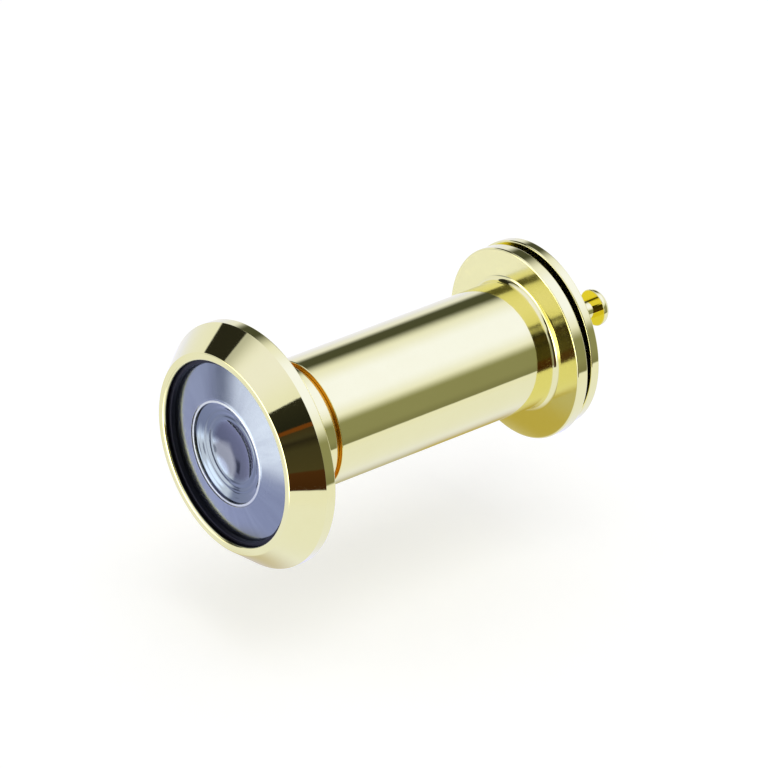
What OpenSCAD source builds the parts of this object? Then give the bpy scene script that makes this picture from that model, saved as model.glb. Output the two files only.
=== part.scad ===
// Door viewer with a swivel privacy cover.
// The optical axis runs along Y: the lens looks towards -Y, the eye is at +Y, and +Z is up.
// The origin is on the axis, in the face of the head that lies on the outside of the door.

/* [Door and barrel] */
// Outer diameter of the barrel and of the collar
barrel_d = 14; // [13.6:0.1:16]
// Space between the two door faces with the barrel screwed home
grip_min = 34.4; // [30:0.1:60]
// Length of the collar behind the head
collar_len = 5.2; // [4.6:0.1:8]
// Gap between the collar and the barrel when screwed home
home_gap = 0.6; // [0.3:0.1:2]
// Depth of that gap, down to the spigot that the barrel stops at
gap_depth = 0.5; // [0.3:0.05:0.6]
// Chamfer on the edges of the collar and the barrel
edge_chamfer = 0.15; // [0.05:0.05:0.3]
// Wall of the barrel outside its thread
barrel_wall = 1; // [0.8:0.05:1.3]

/* [Thread] */
// Radial clearance between the stem and the barrel
thread_clear = 0.05; // [0.02:0.01:0.1]
// Depth of the groove where the thread ends at the collar
relief_h = 0.5; // [0.3:0.05:0.7]
// Width of that groove
relief_w = 1.1; // [0.5:0.1:2]
// Thread that stays engaged at the longest setting
engage_min = 4.6; // [3:0.1:8]
// Room between the end of the stem and the web in the barrel
stem_clear = 0.8; // [0.3:0.1:3]

/* [Head] */
// Outer diameter of the head
head_d = 26.6; // [25:0.1:32]
// Height of the head above the door face
head_h = 4.25; // [4:0.05:6]
// Height of the straight band round the head
rim_h = 1.25; // [0.5:0.05:2]
// Width of the lip round the opening
lip_w = 0.85; // [0.6:0.05:1.5]
// Diameter of the opening in the lip
window_d = 20.2; // [19.6:0.1:20.6]
// Radius on the edges of the lip
lip_round = 0.25; // [0.1:0.05:0.35]
// Chamfer on the back edge of the head
head_chamfer = 0.2; // [0.1:0.05:0.4]

/* [Retaining ring] */
// Depth of the ring below the lip
ring_sink = 0.6; // [0.5:0.05:0.9]
// Thickness of the ring
ring_t = 0.5; // [0.4:0.05:0.8]
// Width of the ring
ring_w = 0.45; // [0.4:0.05:0.9]
// Chamfer on the inner edge of the ring
ring_chamfer = 0.1; // [0.05:0.05:0.2]

/* [Front lens] */
// Radial clearance of a lens in its pocket
lens_clear = 0.04; // [0.02:0.01:0.1]
// Radius of the domed front face
dome_r = 42; // [42:1:80]
// Thickness of the lens at its edge
front_edge_t = 1.8; // [1.6:0.05:2]
// Diameter of the bowl in the front face
bowl_d = 11.2; // [10:0.1:12]
// Depth of the steep wall round the bowl
bowl_wall_h = 0.35; // [0.2:0.05:0.5]
// Fall of the bowl's floor from that wall to the small bowl
bowl_fall = 0.5; // [0.3:0.05:0.6]
// Diameter of the small bowl at the centre
small_bowl_d = 6.8; // [5:0.1:7.4]
// Depth of the small bowl
small_bowl_h = 0.65; // [0.4:0.05:0.75]
// Thickness of the gasket under the lens
gasket_t = 0.25; // [0.15:0.05:0.4]
// Gap between the gasket and the front spacer
gasket_gap = 0.4; // [0.2:0.1:2]

/* [Lens train] */
// Wall of the collar round the front spacer
collar_wall = 0.76; // [0.6:0.02:0.9]
// Depth of the seat of that spacer, behind the door face
spacer_seat = 1.2; // [0.9:0.1:1.6]
// Wall of the front spacer
spacer_wall = 1.9; // [1.4:0.1:2.2]
// Width of the step between the seats of the front spacer and the second lens
second_step = 0.95; // [0.8:0.05:1.1]
// Thickness of the second lens
second_t = 1.8; // [1.4:0.1:2]
// Width of the flat rim round the bowl at the back of the second lens
second_rim = 1.55; // [1.1:0.05:2.2]
// Depth of that bowl
second_bowl_h = 1.0; // [0.5:0.1:1.1]
// Thickness of the aperture disc
aperture_t = 0.3; // [0.2:0.05:0.5]
// Hole in the aperture disc
aperture_d = 5.2; // [3:0.1:6.5]
// Wall of the stem round the third lens, at the bottom of the groove
stem_wall = 1.01; // [0.8:0.01:1.2]
// Length of the spacer between the aperture disc and the third lens
rear_spacer_len = 5.7; // [3:0.1:9]
// Wall of that spacer
rear_spacer_wall = 0.9; // [0.7:0.1:1.3]
// Thickness of the third lens at its edge
third_edge_t = 1.1; // [0.8:0.1:2]
// Height of the dome on each face of the third lens
third_dome_h = 0.6; // [0.3:0.1:0.8]
// Width of the shoulder that the third lens rests on
third_shoulder = 0.7; // [0.5:0.05:0.85]

/* [Inner flange] */
// Diameter of the inner flange
flange_d = 21.1; // [19.4:0.1:28]
// Thickness of the inner flange
flange_t = 1.4; // [1.2:0.1:3]
// Radius on the edges of the flange
flange_round = 0.2; // [0.05:0.05:0.4]
// Height of the hollow curve between the barrel and the flange
cove_h = 0.6; // [0.3:0.05:0.6]
// Length of that curve along the barrel
cove_len = 0.7; // [0.65:0.05:1.2]

/* [Eyepiece] */
// Wall of the barrel round the pocket for the eyepiece
eye_wall = 1.25; // [1.1:0.05:1.6]
// Thickness of the web that the eyepiece rests on
web_t = 0.9; // [0.6:0.1:2]
// Width of the ledge that the web leaves in the pocket
web_ledge = 1.35; // [1:0.05:1.8]
// Thickness of the gasket under the eyepiece lens
eye_gasket_t = 0.3; // [0.2:0.05:0.5]
// Thickness of the eyepiece lens at its edge
eye_edge_t = 1.2; // [0.8:0.1:2]
// Height of the dome on the eyepiece lens
eye_dome_h = 0.9; // [0.4:0.1:1.2]
// Thickness of the eyepiece ring
eye_ring_t = 1.9; // [1.2:0.1:2.5]
// Depth of the eyepiece ring below the flange
eye_ring_sink = 0.26; // [0.1:0.02:0.5]
// Wall of the eyepiece ring at its open end
eye_ring_wall = 0.85; // [0.6:0.05:1]
// Width by which the mouth of the eyepiece ring flares
eye_flare = 0.7; // [0.4:0.05:1]
// Width of the two tool slots in the eyepiece ring
slot_w = 0.9; // [0.6:0.1:1.4]
// Depth of the tool slots
slot_h = 0.6; // [0.3:0.1:0.8]
// Axial clearance between faces that turn on each other
face_clear = 0.02; // [0.01:0.01:0.05]

/* [Cover and pivot] */
// Diameter of the cover disc
cover_d = 20.7; // [20.2:0.1:23]
// Thickness of the cover disc
cover_t = 1.1; // [0.8:0.1:2]
// Radius on the edges of the cover disc
cover_round = 0.2; // [0.05:0.05:0.35]
// Gap between the flange and the cover
cover_gap = 0.8; // [0.4:0.05:1.5]
// Angle of the cover's knob above +X, seen along -Y, with the cover square to the flange
knob_angle = 34; // [0:0.5:90]
// Angle by which the cover is swung up on its rivet at rest
rest_swing = 2.5; // [0:0.1:5]
// Distance from the edge of the cover to the head of the rivet
pivot_edge = 0.2; // [0.1:0.05:0.25]
// Diameter of the rivet
rivet_d = 1.6; // [1.2:0.1:2]
// Radial clearance of the rivet in the cover
rivet_clear = 0.05; // [0.02:0.01:0.1]
// Diameter of the rivet's head
rivet_head_d = 3.4; // [3.2:0.1:3.5]
// Height of the rivet's head
rivet_head_h = 0.9; // [0.6:0.1:1.4]
// Diameter of the pivot spacer and of the spring washer
washer_d = 3.2; // [2.8:0.1:3.4]
// Thickness of the spring washer's metal
washer_t = 0.2; // [0.1:0.05:0.3]
// Height of the spring washer as fitted
washer_h = 0.4; // [0.35:0.05:0.6]

/* [Knob] */
// Distance from the edge of the cover to the axis of the knob
knob_edge = 2.8; // [2:0.1:4]
// Diameter of the knob's neck
neck_d = 2.1; // [1.2:0.05:2.4]
// Length of the neck between the cover and the head of the knob
neck_len = 2.5; // [2:0.1:5]
// Radius where the neck meets the cover and the head
neck_round = 0.35; // [0.1:0.05:0.4]
// Diameter of the knob's head
knob_d = 4; // [3.4:0.1:5]
// Height of the dome of the knob's head
knob_h = 1.1; // [0.8:0.1:2]
// Height of the straight band under the dome
knob_band = 0.25; // [0.1:0.05:0.5]
// Diameter of the shank that is riveted into the cover
shank_d = 1; // [0.8:0.05:1.05]

/* [Hidden] */
$fn = 96;

// Room between the spigot and the barrel when screwed home
stop_clear = 0.1;
// Slant of the wall round the bowl in the front lens
wall_slant = 0.05;
// Allowance by which a cutting solid passes the face that it cuts
cut = 0.5;
// Steps along an arc of a turned profile
arc_steps = 6;
dome_steps = 14;

brass = [0.88, 0.82, 0.56];
bright_brass = [0.93, 0.88, 0.66];
black_ring = [0.1, 0.1, 0.13];
coated_glass = [0.55, 0.58, 0.74, 0.6];
spring_steel = [0.7, 0.7, 0.72];

// Radii that more than one piece uses
barrel_r = barrel_d / 2;
thread_bore_r = barrel_r - barrel_wall;
stem_r = thread_bore_r - thread_clear;
relief_r = stem_r - relief_h;
spigot_r = barrel_r - gap_depth;
window_r = window_d / 2;
head_r = head_d / 2;
lip_r = window_r + lip_w;
ring_in_r = window_r - ring_w;
flange_r = flange_d / 2;
cover_r = cover_d / 2;

// Radii of the lens train
spacer_r = barrel_r - collar_wall - lens_clear;
spacer_in_r = spacer_r - spacer_wall;
gasket_in_r = spacer_r + gasket_gap;
second_r = spacer_r - second_step;
second_bowl_r = second_r - second_rim;
third_r = relief_r - stem_wall - lens_clear;
rear_spacer_in_r = third_r - rear_spacer_wall;
light_r = third_r - third_shoulder;

// Radii of the eyepiece
eye_pocket_r = barrel_r - eye_wall;
eye_lens_r = eye_pocket_r - lens_clear;
web_hole_r = eye_pocket_r - web_ledge;
eye_mouth_r = eye_pocket_r - eye_ring_wall;
eye_clear_r = eye_mouth_r - eye_flare;

// Stations along the axis in the head, from the lip to the door face
lip_y = -head_h;
ring_front_y = lip_y + ring_sink;
ring_back_y = ring_front_y + ring_t;
lens_r = window_r - lens_clear;
dome_top_y = ring_back_y - sag(dome_r, ring_in_r);
lens_edge_y = dome_top_y + sag(dome_r, lens_r);
lens_back_y = lens_edge_y + front_edge_t;
pocket_y = lens_back_y + gasket_t;

// Stations of the lens train behind the head
second_y = spacer_seat;
aperture_y = second_y + second_t;
train_seat_y = aperture_y + aperture_t;
third_y = train_seat_y + rear_spacer_len;
third_seat_y = third_y + third_edge_t;

// Stations along the barrel
sleeve_y = collar_len + home_gap;
spigot_end_y = sleeve_y - stop_clear;
relief_end_y = spigot_end_y + relief_w;
flange_y = grip_min;
flange_back_y = flange_y + flange_t;
eye_depth = eye_gasket_t + eye_edge_t + eye_ring_t + eye_ring_sink + 2 * face_clear;
eye_seat_y = flange_back_y - eye_depth;
web_y = eye_seat_y - web_t;
stem_end_y = web_y - stem_clear;
travel = stem_end_y - engage_min - sleeve_y;

// Stations of the eyepiece
eye_gasket_y = eye_seat_y + face_clear;
eye_lens_y = eye_gasket_y + eye_gasket_t;
eye_lens_back_y = eye_lens_y + eye_edge_t;
eye_ring_y = eye_lens_back_y + face_clear;
eye_ring_back_y = eye_ring_y + eye_ring_t;

// Stations of the cover and its pivot
cover_y = flange_back_y + cover_gap;
cover_back_y = cover_y + cover_t;
spacer_back_y = cover_y - face_clear;
washer_y = cover_back_y + face_clear;
rivet_head_y = washer_y + washer_h;
pivot_angle = knob_angle + 180;
pivot_r = cover_r - pivot_edge - rivet_head_d / 2;
rivet_r = rivet_d / 2;
washer_r = washer_d / 2;
knob_r = cover_r - knob_edge;

// Stations of the knob
knob_under_y = cover_back_y + neck_len;

// Depth of a spherical face of radius r at the distance d from its axis
function sag(r, d) = r - sqrt(r * r - d * d);

// Radius of the spherical face with the half width w and the height h
function cap_radius(w, h) = (w * w + h * h) / (2 * h);

// Points of an arc round a centre, from the angle a0 to the angle a1
function arc(centre, r, a0, a1, steps = arc_steps) = [
    for (i = [0 : steps])
        let (a = a0 + (a1 - a0) * i / steps)
            [centre[0] + r * cos(a), centre[1] + r * sin(a)]
];

// Points of a spherical face from the distance d0 to the distance d1, with its top at y.
// A side of 1 lets the face fall towards +Y, and -1 towards -Y.
function cap(r, y, d0, d1, side) = [
    for (i = [0 : dome_steps])
        let (d = d0 + (d1 - d0) * i / dome_steps)
            [d, y + side * sag(r, d)]
];

// Turns a profile of [radius, station] points round the optical axis
module turned(points)
    rotate([-90, 0, 0])
        rotate_extrude()
            polygon(points);

// Plain round bar or hole between two stations
module bar(r, y0, y1)
    turned([[0, y0], [r, y0], [r, y1], [0, y1]]);

// Plain ring between two stations
module ring(r_in, r_out, y0, y1)
    turned([[r_in, y0], [r_out, y0], [r_out, y1], [r_in, y1]]);

// Moves a piece to a distance and an angle from the optical axis
module placed(r, angle)
    translate([r * cos(angle), 0, r * sin(angle)])
        children();

// Head, collar, spigot and stem, turned from one bar, with the stepped seats of the lens train
module outer_body() {
    outline = concat(
        [[window_r, pocket_y]],
        arc([window_r + lip_round, lip_y + lip_round], lip_round, 180, 270),
        arc([lip_r - lip_round, lip_y + lip_round], lip_round, 270, 330),
        [
            [head_r, -rim_h],
            [head_r, -head_chamfer],
            [head_r - head_chamfer, 0],
            [barrel_r, 0],
            [barrel_r, collar_len - edge_chamfer],
            [barrel_r - edge_chamfer, collar_len],
            [spigot_r, collar_len],
            [spigot_r, spigot_end_y],
            [relief_r, spigot_end_y],
            [relief_r, relief_end_y],
            [stem_r, relief_end_y + relief_h],
            [stem_r, stem_end_y - relief_h],
            [relief_r, stem_end_y],
            [light_r, stem_end_y],
            [light_r, third_seat_y],
            [third_r + lens_clear, third_seat_y],
            [third_r + lens_clear, train_seat_y],
            [second_r + lens_clear, train_seat_y],
            [second_r + lens_clear, spacer_seat],
            [spacer_r + lens_clear, spacer_seat],
            [spacer_r + lens_clear, pocket_y]
        ]
    );
    color(brass) turned(outline);
}

// Black ring that holds the lens
module retaining_ring() {
    color(black_ring)
        turned([
            [window_r, ring_back_y],
            [window_r, ring_front_y],
            [ring_in_r + ring_chamfer, ring_front_y],
            [ring_in_r, ring_front_y + ring_chamfer],
            [ring_in_r, ring_back_y]
        ]);
}

// Large lens with a domed front face. Its bowl has a steep wall, a sloping floor and a
// smaller bowl at the centre.
module front_lens() {
    bowl_r = bowl_d / 2;
    floor_r = bowl_r - wall_slant;
    small_r = small_bowl_d / 2;
    rim_y = dome_top_y + sag(dome_r, bowl_r);
    floor_y = rim_y + bowl_wall_h;
    small_y = floor_y + bowl_fall;
    color(coated_glass)
        turned(concat(
            cap(cap_radius(small_r, small_bowl_h), small_y + small_bowl_h, 0, small_r, -1),
            [
                for (i = [1 : arc_steps])
                    let (d = small_r + (floor_r - small_r) * i / arc_steps)
                        [d, floor_y + bowl_fall * (floor_r * floor_r - d * d)
                            / (floor_r * floor_r - small_r * small_r)]
            ],
            cap(dome_r, dome_top_y, bowl_r, lens_r, 1),
            [[lens_r, lens_back_y], [0, lens_back_y]]
        ));
}

// Flat black ring between the lens and the floor of its pocket
module lens_gasket() {
    color(black_ring) ring(gasket_in_r, lens_r, lens_back_y, pocket_y);
}

// Spacer between the front lens and the second lens
module front_spacer() {
    color(black_ring) ring(spacer_in_r, spacer_r, lens_back_y, spacer_seat);
}

// Second lens, flat at the front and with a bowl at the back
module second_lens() {
    bowl_sphere_r = cap_radius(second_bowl_r, second_bowl_h);
    color(coated_glass)
        turned(concat(
            [[0, second_y], [second_r, second_y], [second_r, aperture_y]],
            cap(bowl_sphere_r, aperture_y - second_bowl_h, second_bowl_r, 0, 1)
        ));
}

// Thin black disc whose hole limits the light
module aperture_disc() {
    color(black_ring) ring(aperture_d / 2, second_r, aperture_y, train_seat_y);
}

// Spacer between the aperture disc and the third lens
module rear_spacer() {
    color(black_ring) ring(rear_spacer_in_r, third_r, train_seat_y, third_y);
}

// Third lens, domed on both faces, against the shoulder in the stem
module third_lens() {
    sphere_r = cap_radius(rear_spacer_in_r, third_dome_h);
    color(coated_glass)
        turned(concat(
            cap(sphere_r, third_y - third_dome_h, 0, rear_spacer_in_r, 1),
            [[third_r, third_y], [third_r, third_seat_y]],
            cap(sphere_r, third_seat_y + third_dome_h, rear_spacer_in_r, 0, -1)
        ));
}

// Flat black ring under the eyepiece lens
module eyepiece_gasket() {
    color(black_ring) ring(web_hole_r, eye_lens_r, eye_gasket_y, eye_lens_y);
}

// Lens at the eye, flat inside and domed towards the eye
module eyepiece_lens() {
    sphere_r = cap_radius(eye_clear_r, eye_dome_h);
    color(coated_glass)
        turned(concat(
            [[0, eye_lens_y], [eye_lens_r, eye_lens_y], [eye_lens_r, eye_lens_back_y]],
            cap(sphere_r, eye_lens_back_y + eye_dome_h, eye_clear_r, 0, -1)
        ));
}

// Barrel and flange with a hollow between them, turned from one bar and threaded inside
module inner_sleeve() {
    outline = concat(
        [
            [thread_bore_r, web_y],
            [thread_bore_r, sleeve_y + edge_chamfer],
            [thread_bore_r + edge_chamfer, sleeve_y],
            [barrel_r - edge_chamfer, sleeve_y],
            [barrel_r, sleeve_y + edge_chamfer]
        ],
        [
            for (i = [0 : arc_steps])
                let (a = 90 * i / arc_steps)
                    [barrel_r + cove_h * (1 - cos(a)), flange_y - cove_len * (1 - sin(a))]
        ],
        arc([flange_r - flange_round, flange_y + flange_round], flange_round, 270, 360),
        arc([flange_r - flange_round, flange_back_y - flange_round], flange_round, 0, 90),
        [
            [eye_pocket_r, flange_back_y],
            [eye_pocket_r, eye_seat_y],
            [web_hole_r, eye_seat_y],
            [web_hole_r, web_y]
        ]
    );
    color(brass)
        difference() {
            turned(outline);
            placed(pivot_r, pivot_angle)
                bar(rivet_r, flange_y - cut, flange_back_y + cut);
        }
}

// Ring that holds the eyepiece lens, with a flared mouth and two tool slots
module eyepiece_ring() {
    mid_y = (eye_ring_y + eye_ring_back_y) / 2;
    color(bright_brass)
        difference() {
            turned([
                [eye_clear_r, eye_ring_y],
                [eye_pocket_r, eye_ring_y],
                [eye_pocket_r, eye_ring_back_y],
                [eye_mouth_r, eye_ring_back_y],
                [eye_clear_r, mid_y]
            ]);
            translate([-barrel_r, eye_ring_back_y - slot_h, -slot_w / 2])
                cube([barrel_d, slot_h + cut, slot_w]);
        }
}

// Rivet that the cover swings on, set flush in the door face of the flange
module pivot_rivet() {
    head_r_out = rivet_head_d / 2;
    head_back_y = rivet_head_y + rivet_head_h;
    color(bright_brass)
        placed(pivot_r, pivot_angle)
            turned(concat(
                [
                    [0, flange_y],
                    [rivet_r, flange_y],
                    [rivet_r, rivet_head_y],
                    [head_r_out, rivet_head_y]
                ],
                [
                    for (i = [1 : dome_steps])
                        let (a = 90 * i / dome_steps)
                            [head_r_out * cos(a), rivet_head_y + (head_back_y - rivet_head_y) * sin(a)]
                ]
            ));
}

// Washer round the rivet that keeps the cover off the flange
module pivot_spacer() {
    color(bright_brass)
        placed(pivot_r, pivot_angle)
            ring(rivet_r, washer_r, flange_back_y, spacer_back_y);
}

// Dished washer between the cover and the head of the rivet
module spring_washer() {
    color(spring_steel)
        placed(pivot_r, pivot_angle)
            turned([
                [rivet_r, rivet_head_y - washer_t],
                [washer_r, washer_y],
                [washer_r, washer_y + washer_t],
                [rivet_r, rivet_head_y]
            ]);
}

// Swings the cover and its knob about the rivet to where they rest
module swung() {
    centre = [pivot_r * cos(pivot_angle), 0, pivot_r * sin(pivot_angle)];
    translate(centre)
        rotate([0, -rest_swing, 0])
            translate(-centre)
                children();
}

// Cover disc with a hole for the rivet and one for the knob
module privacy_cover() {
    color(brass)
        swung() difference() {
            turned(concat(
                [[0, cover_y]],
                arc([cover_r - cover_round, cover_y + cover_round], cover_round, 270, 360),
                arc([cover_r - cover_round, cover_back_y - cover_round], cover_round, 0, 90),
                [[0, cover_back_y]]
            ));
            placed(pivot_r, pivot_angle)
                bar(rivet_r + rivet_clear, cover_y - cut, cover_back_y + cut);
            placed(knob_r, knob_angle)
                bar(shank_d / 2, cover_y - cut, cover_back_y + cut);
        }
}

// Mushroom knob: shank, neck with a fillet at each end, and a domed head
module cover_knob() {
    neck_r = neck_d / 2;
    head_edge_r = knob_d / 2;
    band_y = knob_under_y + knob_band;
    color(bright_brass)
        swung() placed(knob_r, knob_angle)
            turned(concat(
                [[0, cover_y], [shank_d / 2, cover_y], [shank_d / 2, cover_back_y]],
                arc([neck_r + neck_round, cover_back_y + neck_round], neck_round, 270, 180),
                arc([neck_r + neck_round, knob_under_y - neck_round], neck_round, 180, 90),
                [[head_edge_r, knob_under_y], [head_edge_r, band_y]],
                [
                    for (i = [1 : dome_steps])
                        let (a = 90 * i / dome_steps)
                            [head_edge_r * cos(a), band_y + knob_h * sin(a)]
                ]
            ));
}

outer_body();
retaining_ring();
front_lens();
lens_gasket();
front_spacer();
second_lens();
aperture_disc();
rear_spacer();
third_lens();
eyepiece_gasket();
eyepiece_lens();
inner_sleeve();
eyepiece_ring();
pivot_rivet();
pivot_spacer();
spring_washer();
privacy_cover();
cover_knob();
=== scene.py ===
"""Door viewer with a swivel privacy cover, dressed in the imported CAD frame.

The turned pieces that show are rebuilt as fine lathe meshes with exact normals, because a
mirror finish shows every facet. The sizes are those of the CAD source, in millimetres.
"""
import math

import bmesh
import bpy
from mathutils import Matrix, Vector


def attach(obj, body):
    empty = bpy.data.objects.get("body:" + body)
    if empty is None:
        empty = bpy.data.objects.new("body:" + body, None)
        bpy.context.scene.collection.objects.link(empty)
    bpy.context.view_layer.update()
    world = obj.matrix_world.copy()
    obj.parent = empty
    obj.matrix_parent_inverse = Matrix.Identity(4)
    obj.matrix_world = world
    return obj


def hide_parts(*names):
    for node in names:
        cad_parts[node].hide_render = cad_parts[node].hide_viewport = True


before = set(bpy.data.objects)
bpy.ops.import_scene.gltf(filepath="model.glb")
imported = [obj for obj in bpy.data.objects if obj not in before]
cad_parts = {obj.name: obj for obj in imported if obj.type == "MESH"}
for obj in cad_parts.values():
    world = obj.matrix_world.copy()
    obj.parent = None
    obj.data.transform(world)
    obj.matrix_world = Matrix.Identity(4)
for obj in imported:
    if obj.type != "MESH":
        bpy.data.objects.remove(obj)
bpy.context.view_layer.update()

MM = 0.001

# Photograph: 768 pixels square, focal length and the pixel of the origin
FRAME_PX = 768
FOCAL_PX = 6811.0
ORIGIN_PX = (256.03, 442.22)
VIEW_AZ = 51.09
VIEW_EL = 28.76
VIEW_DIST = 0.7
VIEW_ROLL = 0.3
SENSOR_MM = 36.0

# Sizes of the CAD source, in millimetres
BARREL_R = 7.0
COLLAR_LEN = 5.2
SLEEVE_Y = 5.8
SPIGOT_R = 6.5
SPIGOT_END_Y = 5.78
STEM_R = 5.95
STEM_ROOT_R = 5.6
RELIEF_R = 5.45
RELIEF_END_Y = 6.8
STEM_END_Y = 30.4
LIGHT_R = 3.7
THIRD_SEAT_Y = 10.1
THIRD_BORE_R = 4.44
TRAIN_SEAT_Y = 3.3
SECOND_BORE_R = 5.29
SPACER_SEAT_Y = 1.2
SPACER_BORE_R = 6.24
BORE_R = 6.0
BORE_ROOT_R = 6.32
HEAD_R = 13.294
LIP_R = 10.95
LIP_Y = -4.25
RIM_H = 1.25
WINDOW_R = 10.1
RING_R = 9.65
RING_Y = -3.65
RING_BACK_Y = -3.15
LENS_R = 10.06
DOME_R = 42.0
LENS_EDGE_T = 1.8
GASKET_T = 0.25
BOWL_R = 5.6
SMALL_BOWL_R = 3.4
BEAD_W = 0.26
BEAD_H = 0.022
FLANGE_R = 10.55
FLANGE_Y = 34.4
FLANGE_BACK_Y = 35.8
COVE_H = 0.6
COVE_LEN = 0.7
WEB_Y = 31.2
WEB_HOLE_R = 4.4
EYE_SEAT_Y = 32.1
EYE_POCKET_R = 5.75
EYE_MOUTH_R = 4.9
EYE_CLEAR_R = 4.2
COVER_R = 10.35
COVER_Y = 36.6
COVER_BACK_Y = 37.7
KNOB_UNDER_Y = 40.2
PIVOT_R = 8.45
KNOB_R = 7.55
KNOB_ANGLE = 34.0
REST_SWING = 2.5
RIVET_R = 0.8
RIVET_CLEAR = 0.05
SHANK_R = 0.5
PITCH = 1.0
EDGE_CHAMFER = 0.15
RUN_OUT = 0.6
MOUTH_RUN_OUT = 0.9

# Stage: the floor, and the card that the metal mirrors, a little below the rim of the head
FLOOR_Z = -22.6
CARD_Z = -13.34

# Steps round a turned piece, lengths that count as equal, and a small margin past an edge
SEGMENTS = 288
NEAR = 1e-4
MARGIN = 0.01


def sag(radius, distance):
    """Depth of a spherical face at a distance from its axis."""
    return radius - math.sqrt(radius * radius - distance * distance)


def both(a, b, value):
    """Whether two lengths equal a value."""
    return abs(a - value) < NEAR and abs(b - value) < NEAR


def circle(segments):
    """Cosine and sine of equal steps round a circle."""
    return [(math.cos(2 * math.pi * k / segments), math.sin(2 * math.pi * k / segments))
            for k in range(segments)]


def parts(count, start=1):
    """Pairs of k / count, for k from start to count, and whether it is the last."""
    return [(k / count, k == count) for k in range(start, count + 1)]


DOME_TOP_Y = RING_BACK_Y - sag(DOME_R, RING_R)
LENS_BACK_Y = DOME_TOP_Y + sag(DOME_R, LENS_R) + LENS_EDGE_T
POCKET_Y = LENS_BACK_Y + GASKET_T


# Lathe work: a profile is a closed list of (radius, station, corner), where the corner is 0 for
# a sharp edge, a radius for a rounded one, "s" for a point on a smooth curve, or its normal.

def rounded(p, before, after, radius):
    """Arc of (point, normal, not smooth) that rounds the corner at p, of this radius if it fits."""
    before, after = before - p, after - p
    a, b = before.normalized(), after.normalized()
    half = math.acos(max(-1.0, min(1.0, a.dot(b)))) / 2
    reach = min(radius / math.tan(half), 0.49 * before.length, 0.49 * after.length)
    radius = reach * math.tan(half)
    centre = p + (a + b).normalized() * (radius / math.sin(half))
    start, end = p + a * reach - centre, p + b * reach - centre
    turn = math.atan2(start.x * end.y - start.y * end.x, start.dot(end))
    side = 1 if turn > 0 else -1
    arc = []
    for part, _ in parts(6, 0):
        t = turn * part
        d = Vector((start.x * math.cos(t) - start.y * math.sin(t),
                    start.x * math.sin(t) + start.y * math.cos(t)))
        arc.append((centre + d, d.normalized() * side, False))
    return arc


def profile_edges(points):
    """Edges of a closed profile as (p, q, normal at p, normal at q), counter-clockwise."""
    pts = [Vector((r, y)) for r, y, _ in points]
    corners = [c for _, _, c in points]
    area = sum(a.x * b.y - b.x * a.y for a, b in zip(pts, pts[1:] + pts[:1]))
    if area < 0:
        pts.reverse()
        corners.reverse()
    flat = []
    for i, (p, corner) in enumerate(zip(pts, corners)):
        if isinstance(corner, tuple):
            flat.append((p, Vector(corner).normalized(), False))
        elif corner in ("s", 0):
            flat.append((p, None, corner == "s"))
        else:
            flat += rounded(p, pts[i - 1], pts[(i + 1) % len(pts)], corner)
    edges = []
    for (p, normal_p, _), (q, normal_q, smooth) in zip(flat, flat[1:] + flat[:1]):
        d = q - p
        if d.length < 1e-7:
            continue
        plain = Vector((d.y, -d.x)).normalized()
        edges.append([p, q, normal_p or plain, normal_q or plain, smooth, plain])
    for edge, follower in zip(edges, edges[1:] + edges[:1]):
        if edge[4]:
            # both edges share one normal, in which the shorter of them counts more
            edge[3] = follower[2] = (edge[5] / (edge[1] - edge[0]).length
                                     + follower[5] / (follower[1] - follower[0]).length).normalized()
    return [tuple(edge[:4]) for edge in edges]


def on_axis(p):
    return p.x < 1e-6


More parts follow.
